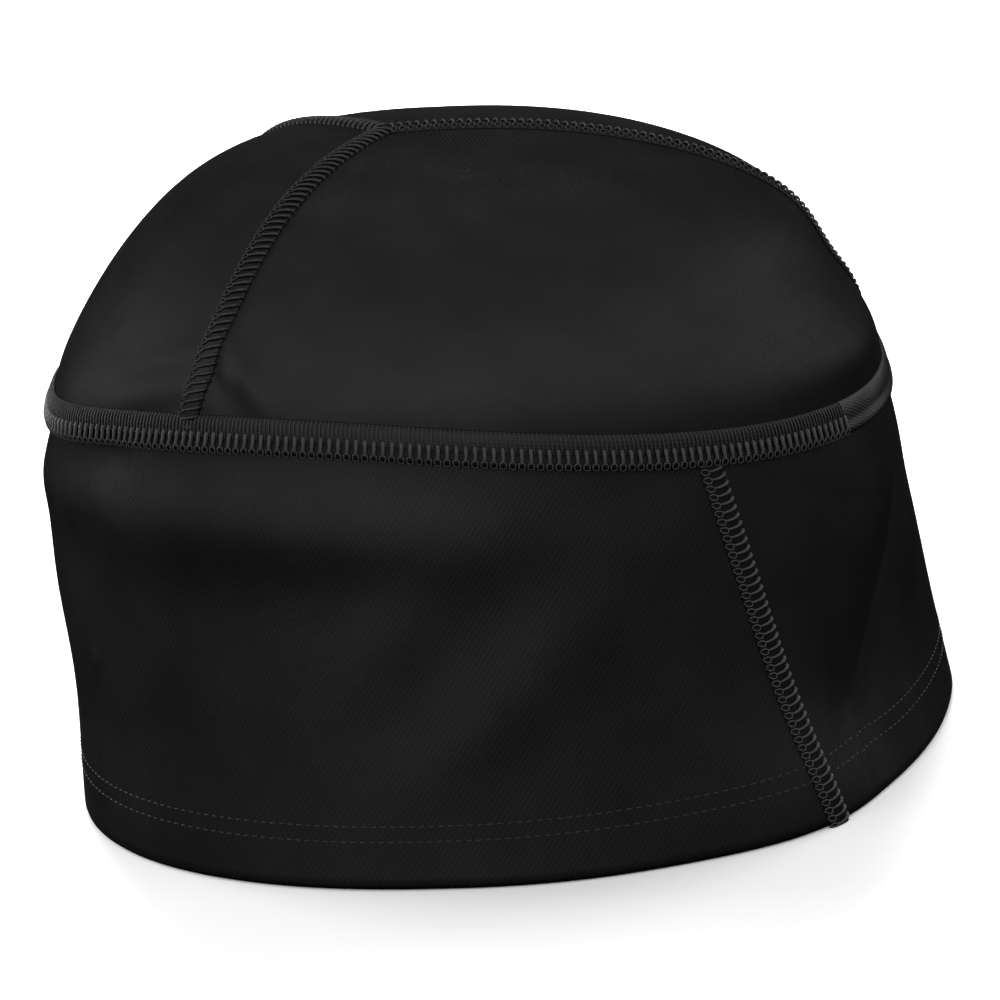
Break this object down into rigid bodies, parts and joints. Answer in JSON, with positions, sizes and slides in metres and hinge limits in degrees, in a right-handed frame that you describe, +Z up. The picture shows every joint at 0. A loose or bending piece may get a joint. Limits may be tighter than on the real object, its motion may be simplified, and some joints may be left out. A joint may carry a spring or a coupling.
{
  "type": "beanie",
  "caption": "Close-fitting skull-cap beanie with a panelled dome crown, a raised ring seam, a deep plain band and a turned-up hem, open below for the head.",
  "frame": {"origin": "on the surface that the rim stands on, under the middle of the hat's box", "axes": "+Z up through the crown, -Y to the front of the hat, -X to the wearer's right"},
  "size_m": [0.1692, 0.1871, 0.1357],
  "materials": {
    "knit": "satin-faced stretch knit, black",
    "seam_thread": "textured thread in flat covered seams, black"
  },
  "bodies": {
    "root": {"crown_panel_right": "knit", "crown_panel_back": "knit", "crown_panel_left": "knit", "crown_seam_front": "seam_thread", "crown_seam_back_right": "seam_thread", "crown_seam_back_left": "seam_thread", "ring_seam": "seam_thread", "band": "knit", "band_seam": "seam_thread", "hem": "knit"}
  },
  "joints": []
}
